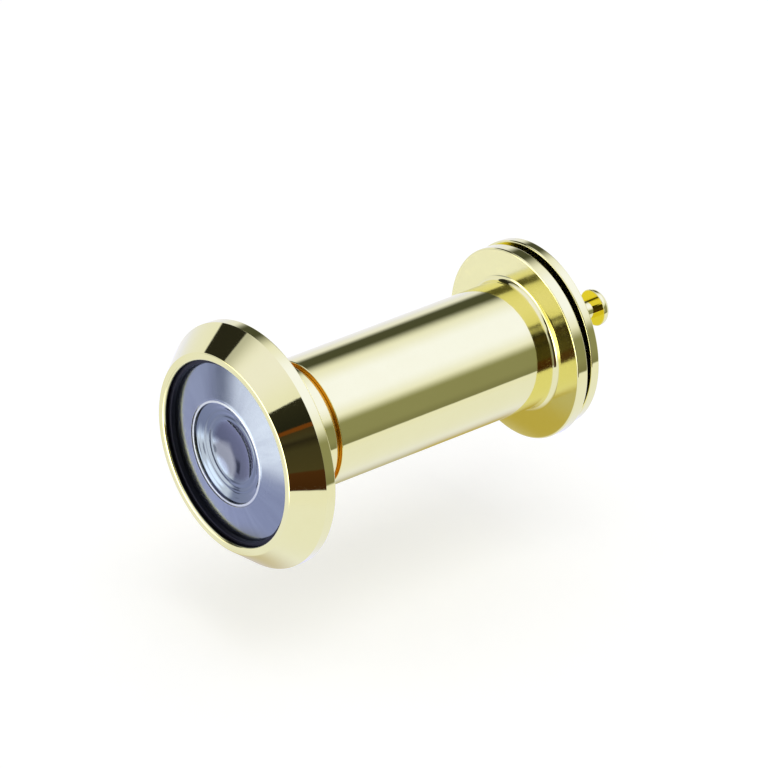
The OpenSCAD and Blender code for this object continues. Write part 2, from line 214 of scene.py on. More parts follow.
class Mesh:
    """Collects points, faces and the normal of each face corner, then makes an object."""

    def __init__(self):
        self.points, self.faces, self.normals, self.paints = [], [], [], []

    def add(self, p):
        """Adds a point given in millimetres. Returns its number."""
        self.points.append((p[0] * MM, p[1] * MM, p[2] * MM))
        return len(self.points) - 1

    def face(self, corners, normals, paint=0):
        """Adds a face with a normal for each corner and the number of its material."""
        self.faces.append(corners)
        self.normals.extend(normals)
        self.paints.append(paint)

    def lathe(self, edges, segments=SEGMENTS, centre=(0, 0), skip=(), paint=None):
        """Turns profile edges about an axis along Y. Returns the function that gives a ring of points.

        paint(p, q) gives the number of the material of the edge from p to q."""
        rings = {}
        turns = circle(segments)

        def ring(p):
            key = (round(p.x, 6), round(p.y, 6))
            if key not in rings:
                if on_axis(p):
                    rings[key] = [self.add((centre[0], p.y, centre[1]))] * segments
                else:
                    rings[key] = [self.add((centre[0] + p.x * c, p.y, centre[1] + p.x * s))
                                  for c, s in turns]
            return rings[key]

        for index, (p, q, n_p, n_q) in enumerate(edges):
            if index in skip or (on_axis(p) and on_axis(q)):
                continue
            rp, rq = ring(p), ring(q)
            number = paint(p, q) if paint else 0
            for k in range(segments):
                j = (k + 1) % segments
                (c0, s0), (c1, s1) = turns[k], turns[j]
                corner = [(rp[k], n_p, c0, s0), (rq[k], n_q, c0, s0),
                          (rq[j], n_q, c1, s1), (rp[j], n_p, c1, s1)]
                if on_axis(p):
                    corner.pop(3)
                if on_axis(q):
                    corner.pop(2)
                self.face([v for v, _, _, _ in corner],
                          [(m.x * c, m.y, m.x * s) for _, m, c, s in corner], number)
        return ring

    def plate(self, loops, side, paint=0):
        """Fills the flat face between the first loop of points and the others, facing side."""
        flat = bmesh.new()
        known = {}
        edges = []
        for loop in loops:
            verts = [flat.verts.new(self.points[i]) for i in loop]
            for v, i in zip(verts, loop):
                known[v] = i
            edges += [flat.edges.new((a, b)) for a, b in zip(verts, verts[1:] + verts[:1])]
        made = bmesh.ops.triangle_fill(flat, edges=edges, use_beauty=True)
        for f in made["geom"]:
            if isinstance(f, bmesh.types.BMFace):
                f.normal_update()
                corners = [known[v] for v in f.verts]
                if f.normal.y * side < 0:
                    corners.reverse()
                self.face(corners, [(0, side, 0)] * len(corners), paint)
        flat.free()

    def hole(self, centre, radius, y0, y1, segments=64):
        """Wall of a round hole along Y. Returns its two loops of points."""
        turns = circle(segments)
        near, far = [], []
        for c, s in turns:
            near.append(self.add((centre[0] + radius * c, y0, centre[1] + radius * s)))
            far.append(self.add((centre[0] + radius * c, y1, centre[1] + radius * s)))
        for k in range(segments):
            j = (k + 1) % segments
            n0, n1 = ((-c, 0, -s) for c, s in (turns[k], turns[j]))
            self.face([near[k], near[j], far[j], far[k]], [n0, n1, n1, n0])
        return near, far

    def object(self, name, paint, body, slot, *nodes):
        """Makes the object. Paint is one material, or a list that the faces' numbers choose from."""
        mesh = bpy.data.meshes.new(name)
        mesh.from_pydata(self.points, [], self.faces)
        for each in paint if isinstance(paint, list) else [paint]:
            mesh.materials.append(each)
        mesh.polygons.foreach_set("material_index", self.paints)
        mesh.polygons.foreach_set("use_smooth", [True] * len(mesh.polygons))
        mesh.update()
        mesh.normals_split_custom_set(self.normals)
        made = bpy.data.objects.new(name, mesh)
        bpy.context.scene.collection.objects.link(made)
        return dress(made, body, slot, *nodes)


def dress(piece, body, slot, *nodes):
    """Lets a piece ride on its body and hides the nodes it stands for; the slot is not used."""
    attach(piece, body)
    if nodes:
        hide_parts(*nodes)
    return piece


def place(radius, angle):
    """The point (x, z) at a radius and an angle about the optical axis."""
    a = math.radians(angle)
    return radius * math.cos(a), radius * math.sin(a)


PIVOT_AT = place(PIVOT_R, KNOB_ANGLE + 180)


def swung(at):
    """Where a point (x, z) of the cover lies once the cover is swung to its rest."""
    cx, cz = PIVOT_AT
    a = math.radians(REST_SWING)
    dx, dz = at[0] - cx, at[1] - cz
    return cx + dx * math.cos(a) - dz * math.sin(a), cz + dx * math.sin(a) + dz * math.cos(a)


def cap(radius, height, y):
    """Smooth points of a spherical cap, from its edge at a station to the axis."""
    sphere = (radius * radius + height * height) / (2 * height)
    out = []
    for part, _ in parts(20, 0):
        r = radius * (1 - part)
        out.append((r, y + math.sqrt(sphere * sphere - r * r) - (sphere - height), "s"))
    return out


def button(radius, height, y):
    """Smooth points of a rounded head, from just above its edge at a station to the axis."""
    out = []
    for part, last in parts(14):
        a = math.radians(90 * part)
        out.append((0.0 if last else radius * math.cos(a), y + height * math.sin(a), "s"))
    return out


# Materials

class Shader:
    """Short way to write a node tree."""

    def __init__(self, tree):
        self.tree = tree
        tree.nodes.clear()

    def node(self, kind, *links):
        """A new node with its first inputs linked or set."""
        made = self.tree.nodes.new(kind)
        for i, link in enumerate(links):
            self.put(link, made.inputs[i])
        return made

    def put(self, source, target):
        """Links an output to an input, or sets the input to a number or a tuple."""
        if isinstance(source, (int, float, tuple)):
            target.default_value = source
        else:
            self.tree.links.new(source, target)

    def surface(self, kind, shader):
        """Makes a shader node the surface of an output node of this kind."""
        self.put(shader.outputs[0], self.node(kind).inputs["Surface"])

    def seen(self):
        """1 for a ray from the camera, also through glass, and 0 for any other."""
        path = self.node("ShaderNodeLightPath")
        return self.math("MAXIMUM", path.outputs["Is Camera Ray"], path.outputs["Is Transmission Ray"])

    def math(self, operation, a, b=0.0):
        made = self.node("ShaderNodeMath", a, b)
        made.operation = operation
        return made.outputs[0]

    def times(self, first, *others):
        """Product of two or more values."""
        for other in others:
            first = self.math("MULTIPLY", first, other)
        return first

    def length(self, a, b):
        """Length of the vector (a, b)."""
        return self.math("SQRT", self.math("ADD", self.times(a, a), self.times(b, b)))

    def between(self, part, low, high):
        """Number that runs from low, where part is 0, to high, where it is 1."""
        return self.math("ADD", low, self.times(part, high - low))

    def smooth(self, value, low, high):
        """Smooth step: 0 where value is low, 1 where it is high."""
        made = self.node("ShaderNodeMapRange", value, low, high)
        made.interpolation_type = "SMOOTHSTEP"
        return made.outputs["Result"]

    def band(self, value, rise, fall):
        """1 between two soft edges, each given as the values where the step is 0 and where it is 1."""
        return self.times(self.smooth(value, *rise), self.smooth(value, *fall))

    def ramp(self, value, low, high, stops):
        """Colour of a value from stops of (value, colour) between low and high."""
        made = self.tree.nodes.new("ShaderNodeValToRGB")
        elements = made.color_ramp.elements
        while len(elements) < len(stops):
            elements.new(0.5)
        for element, (at, rgb) in zip(elements, stops):
            element.position = (at - low) / (high - low)
            element.color = (*rgb, 1.0)
        self.put(self.math("DIVIDE", self.math("SUBTRACT", value, low), high - low), made.inputs[0])
        return made.outputs[0]

    def mix(self, factor, a, b, blend="MIX"):
        made = self.tree.nodes.new("ShaderNodeMix")
        made.data_type = "RGBA"
        made.blend_type = blend
        for key, v in (("Factor_Float", factor), ("A_Color", a), ("B_Color", b)):
            socket = next(s for s in made.inputs if s.identifier == key)
            self.put((*v, 1.0) if isinstance(v, tuple) else v, socket)
        return next(s for s in made.outputs if s.identifier == "Result_Color")

    def noise(self, vector, scale, detail, roughness):
        made = self.tree.nodes.new("ShaderNodeTexNoise")
        self.put(vector, made.inputs["Vector"])
        made.inputs["Scale"].default_value = scale
        made.inputs["Detail"].default_value = detail
        made.inputs["Roughness"].default_value = roughness
        return made.outputs["Fac"]


def new_paint(name):
    """A new material and the Shader of its empty tree."""
    made = bpy.data.materials.new(name)
    made.use_nodes = True
    return made, Shader(made.node_tree)


def material(name):
    """A new material, its Shader and its Principled BSDF."""
    made, s = new_paint(name)
    bsdf = s.node("ShaderNodeBsdfPrincipled")
    s.surface("ShaderNodeOutputMaterial", bsdf)
    return made, s, bsdf


def turned_coords(s):
    """Object position in millimetres, the same without the angle about Y, and (x, z, radius)."""
    mm = s.node("ShaderNodeVectorMath", s.node("ShaderNodeTexCoord").outputs["Object"])
    mm.operation = "SCALE"
    mm.inputs["Scale"].default_value = 1 / MM
    x, y, z = s.node("ShaderNodeSeparateXYZ", mm.outputs[0]).outputs
    radius = s.length(x, z)
    lines = s.node("ShaderNodeCombineXYZ", radius, y, 0.0).outputs[0]
    return mm.outputs[0], lines, (x, z, radius)


def bump(s, height):
    """Normal of a surface that stands out by a height in millimetres."""
    made = s.tree.nodes.new("ShaderNodeBump")
    made.inputs["Strength"].default_value = 1.0
    made.inputs["Distance"].default_value = MM
    s.put(height, made.inputs["Height"])
    return made.outputs[0]


def scaled(colour, factor):
    return tuple(c * factor for c in colour)


def brass(name, colour, roughness, lines_bump, wave_bump=0.0, dull=0.0):
    """Polished brass: fine turning lines, soft waves from the polishing and faint handling marks."""
    made, s, bsdf = material(name)
    pos, lines, _ = turned_coords(s)
    tone = s.noise(pos, 0.35, 4.0, 0.6)
    fine = s.noise(lines, 9.0, 5.0, 0.7)
    spots = s.smooth(s.noise(pos, 1.6, 6.0, 0.75), 0.52, 0.72)
    deeper = tuple(c * f for c, f in zip(colour, (0.965, 0.955, 0.92)))
    base = s.mix(tone, deeper, colour)
    s.put(s.mix(s.times(fine, 0.10), base, scaled(colour, 0.86)), bsdf.inputs["Base Color"])
    rough = s.math("ADD", s.times(fine, roughness * 0.7), roughness * 0.55 + dull)
    s.put(s.math("ADD", rough, s.times(spots, roughness * 0.8)), bsdf.inputs["Roughness"])
    bsdf.inputs["Metallic"].default_value = 1.0
    height = s.times(s.noise(lines, 14.0, 3.0, 0.6), lines_bump)
    if wave_bump:
        height = s.math("ADD", height, s.times(s.noise(pos, 0.9, 1.0, 0.4), wave_bump))
    s.put(bump(s, height), bsdf.inputs["Normal"])
    return made


def plastic(name, colour, roughness, speck, specular=0.5):
    """Moulded black plastic or rubber with a fine grain, worn spots and faint rings."""
    made, s, bsdf = material(name)
    pos, lines, _ = turned_coords(s)
    grain = s.noise(pos, 14.0, 5.0, 0.65)
    wear = s.smooth(s.noise(pos, 2.2, 4.0, 0.6), 0.45, 0.75)
    s.put(s.mix(s.times(wear, 0.35), colour, scaled(colour, 2.4)), bsdf.inputs["Base Color"])
    s.put(s.math("ADD", roughness - 0.06, s.times(grain, 0.16)), bsdf.inputs["Roughness"])
    rings = s.times(s.noise(lines, 10.0, 2.0, 0.5), speck * 0.6)
    s.put(bump(s, s.math("ADD", s.times(grain, speck), rings)), bsdf.inputs["Normal"])
    bsdf.inputs["Specular IOR Level"].default_value = specular
    return made


def clear_under(s, bsdf, lines, coat, coat_roughness):
    """What all lenses share: clear glass under the film, a thin coat over it and faint rings."""
    bsdf.inputs["Transmission Weight"].default_value = 1.0
    bsdf.inputs["IOR"].default_value = GLASS_IOR
    bsdf.inputs["Coat Weight"].default_value = coat
    bsdf.inputs["Coat Roughness"].default_value = coat_roughness
    s.put(bump(s, s.times(s.noise(lines, 6.0, 2.0, 0.5), 0.0006)), bsdf.inputs["Normal"])


def glass(name, colour, metal, roughness):
    """Coated glass: a violet reflecting film over clear glass."""
    made, s, bsdf = material(name)
    pos, lines, _ = turned_coords(s)
    smear = s.noise(pos, 0.5, 4.0, 0.6)
    s.put(s.mix(smear, scaled(colour, 0.88), colour), bsdf.inputs["Base Color"])
    s.put(s.math("ADD", roughness * 0.7, s.times(smear, roughness * 0.6)), bsdf.inputs["Roughness"])
    bsdf.inputs["Metallic"].default_value = metal
    clear_under(s, bsdf, lines, 0.6, 0.02)
    return made


def front_glass():
    """The big front lens: a satin silvery film on the rim, the film thinner down in the small bowl."""
    bowl_rgb, rim_rgb, deep_rgb = (0.19, 0.22, 0.205), (0.265, 0.30, 0.28), (0.165, 0.18, 0.185)
    painted_dark_streak_rgb, painted_pale_streak_rgb, painted_bead_highlight_rgb = (0.15, 0.17, 0.18), (0.44, 0.47, 0.42), (0.62, 0.64, 0.50)
    made, s, bsdf = material("front_glass")
    pos, lines, (x, z, radius) = turned_coords(s)
    rim = s.smooth(radius, BOWL_R - 0.16, BOWL_R - 0.10)
    bead = s.times(rim, s.smooth(radius, BOWL_R + 0.15, BOWL_R + 0.08))
    deep = s.smooth(radius, SMALL_BOWL_R + 0.1, SMALL_BOWL_R - 0.6)
    # painted reflection: streaks on the rim that run out from the axis, wide dark ones and fine pale ones,
    # stand in for the studio mirrored in the rim
    angle = s.math("ARCTAN2", z, x)
    around = [s.times(s.math(turn, angle), 1.4) for turn in ("COSINE", "SINE")]
    along = s.node("ShaderNodeCombineXYZ", *around, s.times(radius, 0.04)).outputs[0]
    painted_dark_streaks = s.times(rim, s.smooth(s.noise(along, 1.6, 4.0, 0.6), 0.40, 0.62))
    fine = s.times(rim, s.noise(along, 14.0, 3.0, 0.6))
    film = s.mix(rim, bowl_rgb, rim_rgb)
    film = s.mix(deep, film, deep_rgb)
    film = s.mix(s.times(painted_dark_streaks, 0.35), film, painted_dark_streak_rgb)
    film = s.mix(s.times(fine, 0.16), film, painted_pale_streak_rgb)
    # painted highlight: the bead along the rim of the bowl gets a pale film for the bright ring it shows
    s.put(s.mix(bead, film, painted_bead_highlight_rgb), bsdf.inputs["Base Color"])
    smear = s.noise(pos, 0.5, 4.0, 0.6)
    rough = s.math("ADD", s.math("ADD", 0.05, s.times(rim, 0.11)), s.times(bead, 0.16))
    s.put(s.math("ADD", rough, s.times(smear, 0.04)), bsdf.inputs["Roughness"])
    s.put(s.math("SUBTRACT", 0.92, s.times(deep, 0.4)), bsdf.inputs["Metallic"])
    clear_under(s, bsdf, lines, 0.15, 0.05)
    return made


GLASS_IOR = 1.52
BRASS_RGB = (0.92, 0.86, 0.33)
POLISHED = brass("polished_brass", BRASS_RGB, 0.045, 0.0005, 0.0016)
TURNED = brass("turned_brass", (0.86, 0.80, 0.40), 0.10, 0.0012, 0.0008)
THREAD = brass("thread_brass", (0.80, 0.60, 0.20), 0.22, 0.0025, dull=0.05)
RAW = brass("raw_brass", (0.84, 0.52, 0.06), 0.30, 0.0025)
# deeper yellow brass for the underside of the knob's head: a painted reflection of the brass mirrored in
# itself
PAINTED_REFLECTION_BRASS = brass("painted_reflection_brass", (0.92, 0.78, 0.06), 0.05, 0.0005)
FACED = brass("faced_brass", BRASS_RGB, 0.15, 0.0006, 0.0060)
# near-black brass for the wall round the window
DARK_WINDOW_WALL = brass("dark_window_wall", (0.020, 0.018, 0.018), 0.35, 0.0020)
BLACK = plastic("black_ring", (0.004, 0.004, 0.006), 0.38, 0.004, specular=0.14)
DULL_BLACK = plastic("black_spacer", (0.010, 0.010, 0.012), 0.55, 0.012)
RUBBER = plastic("black_gasket", (0.012, 0.012, 0.013), 0.72, 0.02)
FRONT_GLASS = front_glass()
INNER_GLASS = glass("inner_glass", (0.70, 0.74, 0.90), 0.30, 0.03)
EYE_GLASS = glass("eye_glass", (0.72, 0.76, 0.92), 0.16, 0.02)
STEEL = brass("spring_steel", (0.62, 0.61, 0.60), 0.22, 0.002, dull=0.05)


# Pieces of the outer side

def outer_body():
    """Head, collar, spigot and stem with the seats of the lens train, without the thread."""
    profile = [
        (WINDOW_R, POCKET_Y, 0),
        (WINDOW_R, LIP_Y, 0.25),
        (LIP_R, LIP_Y, 0.16),
        (HEAD_R, -RIM_H, 0.05),
        (HEAD_R, 0.0, 0.2),
        (BARREL_R, 0.0, 0.08),
        (BARREL_R, COLLAR_LEN, 0.12),
        (SPIGOT_R, COLLAR_LEN, 0.04),
        (SPIGOT_R, SPIGOT_END_Y, 0.04),
        (RELIEF_R, SPIGOT_END_Y, 0.05),
        (RELIEF_R, RELIEF_END_Y, 0),
        (STEM_ROOT_R, RELIEF_END_Y + EDGE_CHAMFER, 0),
        (STEM_ROOT_R, STEM_END_Y - EDGE_CHAMFER, 0),
        (RELIEF_R, STEM_END_Y, 0.05),
        (LIGHT_R, STEM_END_Y, 0.05),
        (LIGHT_R, THIRD_SEAT_Y, 0),
        (THIRD_BORE_R, THIRD_SEAT_Y, 0),
        (THIRD_BORE_R, TRAIN_SEAT_Y, 0),
        (SECOND_BORE_R, TRAIN_SEAT_Y, 0),
        (SECOND_BORE_R, SPACER_SEAT_Y, 0),
        (SPACER_BORE_R, SPACER_SEAT_Y, 0),
        (SPACER_BORE_R, POCKET_Y, 0),
    ]

    def finish(p, q):
        """0 polished, 1 raw from the end of the collar along the stem, 2 black round the window."""
        if both(p.x, q.x, WINDOW_R):
            return 2
        past_collar = min(p.y, q.y) > COLLAR_LEN - MARGIN
        on_stem = max(p.y, q.y) < STEM_END_Y + MARGIN and min(p.x, q.x) > RELIEF_R - 0.1
        return 1 if past_collar and on_stem else 0

    m = Mesh()
    m.lathe(profile_edges(profile), paint=finish)
    return m.object("outer_body_turned", [POLISHED, RAW, DARK_WINDOW_WALL], "outer", "polished_brass", "outer_body")


def thread(name, root, crest, y0, y1, body, external=True):
    """Right-hand helical ridge of trapezoid section, fading at both ends."""
    segments, half_root, half_crest, sink, skirt = 96, 0.46 * PITCH, 0.10 * PITCH, 0.06, 0.001
    fade, least = 0.6 * segments, 0.02
    foot = root - sink if external else root + sink
    count = int((y1 - y0) / PITCH * segments)
    m = Mesh()
    rows = []
    for i in range(count + 1):
        t = 2 * math.pi * i / segments
        y = y0 + PITCH * i / segments
        grow = max(least, min(1.0, i / fade, (count - i) / fade))
        top = root + (crest - root) * grow
        section = [(foot, -half_root), (root, -half_root * grow - skirt), (top, -half_crest),
                   (top, half_crest), (root, half_root * grow + skirt), (foot, half_root)]
        rows.append([m.add((r * math.sin(t), y + d, r * math.cos(t))) for r, d in section])

    def flat_face(corners):
        a, b, c = (Vector(m.points[corners[k]]) for k in (0, 1, 2))
        n = (b - a).cross(c - a)
        if n.length < 1e-16:
            n = (b - a).cross(Vector(m.points[corners[-1]]) - a)
        n = n.normalized() if n.length > 0 else Vector((0, 1, 0))
        m.face(corners, [tuple(n)] * len(corners))

    order = -1 if external else 1
    for row, following in zip(rows, rows[1:]):
        for k in range(len(row)):
            j = (k + 1) % len(row)
            flat_face([row[k], row[j], following[j], following[k]][::order])
    flat_face(rows[0][::-order])
    flat_face(rows[-1][::order])
    return m.object(name, THREAD, body, "polished_brass")


def retaining_ring():
    """Black ring sunk in the head in front of the lens."""
    profile = [
        (WINDOW_R, RING_BACK_Y, 0),
        (WINDOW_R, RING_Y, 0.04),
        (RING_R, RING_Y, 0.12),
        (RING_R, RING_BACK_Y, 0),
    ]
    m = Mesh()
    m.lathe(profile_edges(profile))
    return m.object("retaining_ring_turned", BLACK, "outer", "black_plastic", "retaining_ring")


def front_lens():
    """Lens with a domed face, a beaded rim, a bowl with a hollow floor, and a small bowl in that."""
    wall_h, fall, small_h = 0.35, 0.5, 0.65
    small_power, floor_power, bead_power = 2.6, 2.1, 1.5
    wave_h, waves, wave_fade = 0.026, 3, 0.7
    floor_r, foot_r, bead_r = SMALL_BOWL_R + 0.08, BOWL_R - 0.17, BOWL_R - 0.12
    face_r = bead_r + BEAD_W + 0.08

    def dome_y(r):
        return DOME_TOP_Y + sag(DOME_R, r)

    small_y = dome_y(BOWL_R) + wall_h + fall
    points = []
    for part, last in parts(24, 0):
        y = small_y + small_h * (1 - part ** small_power)
        points.append((SMALL_BOWL_R * part, y, 0.10 if last else "s"))
    # floor of the bowl: nearly flat by the small bowl, steeper towards the wall, with shallow waves
    for part, last in parts(36):
        wave = wave_h * math.sin(2 * math.pi * waves * part) * (1 - wave_fade * part)
        y = small_y - fall * part ** floor_power - wave
        points.append((floor_r + (foot_r - floor_r) * part, y, 0.05 if last else "s"))
    # wall, then the rounded bead along the rim
    points.append((bead_r - 0.01, dome_y(BOWL_R) + 0.03, "s"))
    for part, _ in parts(8):
        a = math.pi * part
        r = bead_r + BEAD_W / 2 * (1 - math.cos(a))
        points.append((r, dome_y(r) - BEAD_H * math.sin(a) ** bead_power, "s"))
    # domed face out to the edge
    for part, last in parts(20):
        r = face_r + (LENS_R - face_r) * part
        points.append((r, dome_y(r), 0 if last else "s"))
    points += [(LENS_R, LENS_BACK_Y, 0), (0.0, LENS_BACK_Y, "s")]
    m = Mesh()
    m.lathe(profile_edges(points))
    return m.object("front_lens_turned", FRONT_GLASS, "outer", "coated_glass", "front_lens")


# Pieces of the inner side

def cove():
    """Hollow curve between the barrel and the front of the flange, with its exact normals."""
    out = []
    for part, _ in parts(10, 0):
        a = math.pi / 2 * part
        out.append((BARREL_R + COVE_H * (1 - math.cos(a)), FLANGE_Y - COVE_LEN * (1 - math.sin(a)),
                    (math.cos(a) / COVE_H, -math.sin(a) / COVE_LEN)))
    return out


def inner_sleeve():
    """Barrel and flange, whose flat faces are plates round the hole of the rivet."""
    mouth_len = 0.4
    edges = profile_edges([
        (BORE_ROOT_R, WEB_Y, 0),
        (BORE_ROOT_R, SLEEVE_Y + mouth_len, 0),
        (BORE_R + EDGE_CHAMFER, SLEEVE_Y, 0.03),
        (BARREL_R, SLEEVE_Y, 0.12),
        *cove(),
        (FLANGE_R, FLANGE_Y, 0.18),
        (FLANGE_R, FLANGE_BACK_Y, 0.2),
        (EYE_POCKET_R, FLANGE_BACK_Y, 0.06),
        (EYE_POCKET_R, EYE_SEAT_Y, 0),
        (WEB_HOLE_R, EYE_SEAT_Y, 0),
        (WEB_HOLE_R, WEB_Y, 0),
    ])

    def flat(y):
        """Number of the wide flat edge at a station."""
        return next(i for i, (p, q, _, _) in enumerate(edges)
                    if both(p.y, q.y, y) and abs(p.x - q.x) > 1.5)

    def raw(p, q):
        """1 raw at the mouth that faces the collar, 0 polished."""
        at_mouth = max(p.y, q.y) < SLEEVE_Y + mouth_len + MARGIN
        return 1 if at_mouth and max(p.x, q.x) < BARREL_R - 0.05 else 0

    front, back = flat(FLANGE_Y), flat(FLANGE_BACK_Y)
    m = Mesh()
    ring = m.lathe(edges, skip=(front, back), paint=raw)
    near, far = m.hole(PIVOT_AT, RIVET_R, FLANGE_Y, FLANGE_BACK_Y)
    for index, loop, side in ((front, near, -1), (back, far, 1)):
        p, q, _, _ = edges[index]
        outer, inner = (p, q) if p.x > q.x else (q, p)
        m.plate([ring(outer), ring(inner), loop], side, 2)
    paints = [POLISHED, RAW, FACED]
    return m.object("inner_sleeve_turned", paints, "sleeve", "polished_brass", "inner_sleeve")


def privacy_cover():
    """Round disc, whose flat faces are plates round the holes of the rivet and the knob."""
    edges = profile_edges([
        (0.0, COVER_Y, 0),
        (COVER_R, COVER_Y, 0.2),
        (COVER_R, COVER_BACK_Y, 0.2),
        (0.0, COVER_BACK_Y, 0),
    ])
    m = Mesh()
    faces = [i for i, (p, q, _, _) in enumerate(edges) if on_axis(p) != on_axis(q)]
    ring = m.lathe(edges, centre=swung((0, 0)), skip=faces)
    rims = sorted((max(edges[i][:2], key=lambda p: p.x) for i in faces), key=lambda p: p.y)
    front, back = ([ring(p)] for p in rims)
    for centre, radius in ((PIVOT_AT, RIVET_R + RIVET_CLEAR), (swung(place(KNOB_R, KNOB_ANGLE)), SHANK_R)):
        near, far = m.hole(centre, radius, COVER_Y, COVER_BACK_Y)
        front.append(near)
        back.append(far)
    m.plate(front, -1)
    m.plate(back, 1)
    return m.object("privacy_cover_turned", POLISHED, "cover", "polished_brass", "privacy_cover")


def cover_knob():
    """Mushroom knob with a hollow curve at its foot; the underside of its head is painted a deeper yellow, a
    painted reflection of the brass round it.
    """
    neck_r, fillet, head_r, band, rise = 1.05, 0.35, 2.0, 0.25, 1.1
    profile = [(0.0, COVER_Y, 0), (SHANK_R, COVER_Y, 0), (SHANK_R, COVER_BACK_Y, 0)]
    for part, _ in parts(8, 0):
        a = math.radians(270 - 90 * part)
        r, y = neck_r + fillet * (1 + math.cos(a)), COVER_BACK_Y + fillet * (1 + math.sin(a))
        profile.append((r, y, "s" if part else 0))
    band_y = KNOB_UNDER_Y + band
    profile += [(neck_r, KNOB_UNDER_Y, 0), (head_r, KNOB_UNDER_Y, 0.1), (head_r, band_y, "s")]
    profile += button(head_r, rise, band_y)
    m = Mesh()
    # the underside of the head takes the painted reflection
    m.lathe(profile_edges(profile), 96, swung(place(KNOB_R, KNOB_ANGLE)),
            paint=lambda p, q: 1 if both(p.y, q.y, KNOB_UNDER_Y) else 0)
    return m.object("cover_knob_turned", [POLISHED, PAINTED_REFLECTION_BRASS], "cover", "polished_brass", "cover_knob")


def pivot_rivet():
    """Rivet with a round head, on which the cover swings."""
    low, high, head_r = 38.12, 39.02, 1.7
    profile = [(0.0, FLANGE_Y, 0), (RIVET_R, FLANGE_Y, 0), (RIVET_R, low, 0), (head_r, low, 0.05)]
    profile += button(head_r, high - low, low)
    m = Mesh()
    m.lathe(profile_edges(profile), 96, PIVOT_AT)
    return m.object("pivot_rivet_turned", TURNED, "sleeve", "polished_brass", "pivot_rivet")


def eyepiece_lens():
    """Lens with a flat front and a domed back."""
    edge_y, back_y, lens_r, dome_h = 32.42, 33.62, 5.71, 0.9
    points = [(0.0, edge_y, 0), (lens_r, edge_y, 0), (lens_r, back_y, 0)]
    points += cap(EYE_CLEAR_R, dome_h, back_y)
    m = Mesh()
    m.lathe(profile_edges(points), 192)
    return m.object("eyepiece_lens_turned", EYE_GLASS, "eyepiece", "coated_glass", "eyepiece_lens")


def eyepiece_ring():
    """Ring with a flared mouth, cut across by one slot for a key."""
    low, high = 33.64, 35.54
    slot_l, slot_h, slot_w, slot_y = 14.4, 1.6, 0.9, high + 0.2
    profile = [
        (EYE_CLEAR_R, low, 0),
        (EYE_POCKET_R, low, 0),
        (EYE_POCKET_R, high, 0.06),
        (EYE_MOUTH_R, high, 0.1),
        (EYE_CLEAR_R, (low + high) / 2, 0.15),
    ]
    m = Mesh()
    m.lathe(profile_edges(profile), 192)
    made = m.object("eyepiece_ring_turned", TURNED, "sleeve", "polished_brass", "eyepiece_ring")
    cutter = bmesh.new()
    bmesh.ops.create_cube(cutter, size=1.0, matrix=Matrix.LocRotScale(
        Vector((0, slot_y * MM, 0)), None, Vector((slot_l * MM, slot_h * MM, slot_w * MM))))
    box = bpy.data.meshes.new("slot_cutter")
    cutter.to_mesh(box)
    cutter.free()
    tool = bpy.data.objects.new("slot_cutter", box)
    bpy.context.scene.collection.objects.link(tool)
    cut = made.modifiers.new("slots", "BOOLEAN")
    cut.object = tool
    cut.operation = "DIFFERENCE"
    cut.solver = "EXACT"
    bpy.context.view_layer.update()
    done = bpy.data.meshes.new_from_object(made.evaluated_get(bpy.context.evaluated_depsgraph_get()))
    made.modifiers.clear()
    made.data = done
    bpy.data.objects.remove(tool)
    return made


# Stage

def pale_studio(s, direction, az, el):
    """Pale all round, with the soft box above the object and a plain bright part ahead."""
    ahead_at, ahead_rgb = (-0.682, 0.551, -0.481), (0.94, 0.95, 1.20)
    box = s.times(s.smooth(el, 15.0, 42.0), s.band(az, (-46.0, 12.0), (75.0, 60.0)))
    high = s.times(s.smooth(el, 40.0, 62.0), s.smooth(s.math("ABSOLUTE", az), 60.0, 100.0))
    white = s.mix(box, (0.884, 0.917, 1.444), (0.16, 0.20, 1.00), "ADD")
    white = s.mix(high, white, (0.07, 0.07, 0.50), "ADD")
    ahead = s.node("ShaderNodeVectorMath", direction, ahead_at)
    ahead.operation = "DOT_PRODUCT"
    return s.mix(s.smooth(ahead.outputs["Value"], 0.90, 0.985), white, ahead_rgb)


def left_gap(s, colour, az, el):
    """Dark gap on the left, softer towards the barrel, a shade round it and a dim far end."""
    shade = s.times(s.band(el, (30.0, 36.0), (56.0, 41.0)), s.band(az, (-150.0, -118.0), (-60.0, -100.0)))
    colour = s.mix(s.times(shade, 0.42), colour, (0.0, 0.0, 0.0))
    soft = s.smooth(az, -95.0, -60.0)
    low_edge = s.between(soft, 17.5, 10.5), s.between(soft, 19.5, 24.0)
    high_edge = s.between(soft, 41.0, 51.0), s.between(soft, 40.0, 35.5)
    gap = s.times(s.band(el, low_edge, high_edge), s.band(az, (-119.0, -117.5), (-14.0, -34.0)))
    colour = s.mix(gap, colour, s.mix(soft, (0.022, 0.022, 0.025), (0.072, 0.078, 0.075)))
    far_end = s.times(s.band(el, (16.5, 20.5), (39.5, 34.0)), s.band(az, (-142.0, -138.0), (-118.5, -120.0)))
    return s.mix(far_end, colour, (0.10, 0.10, 0.09))


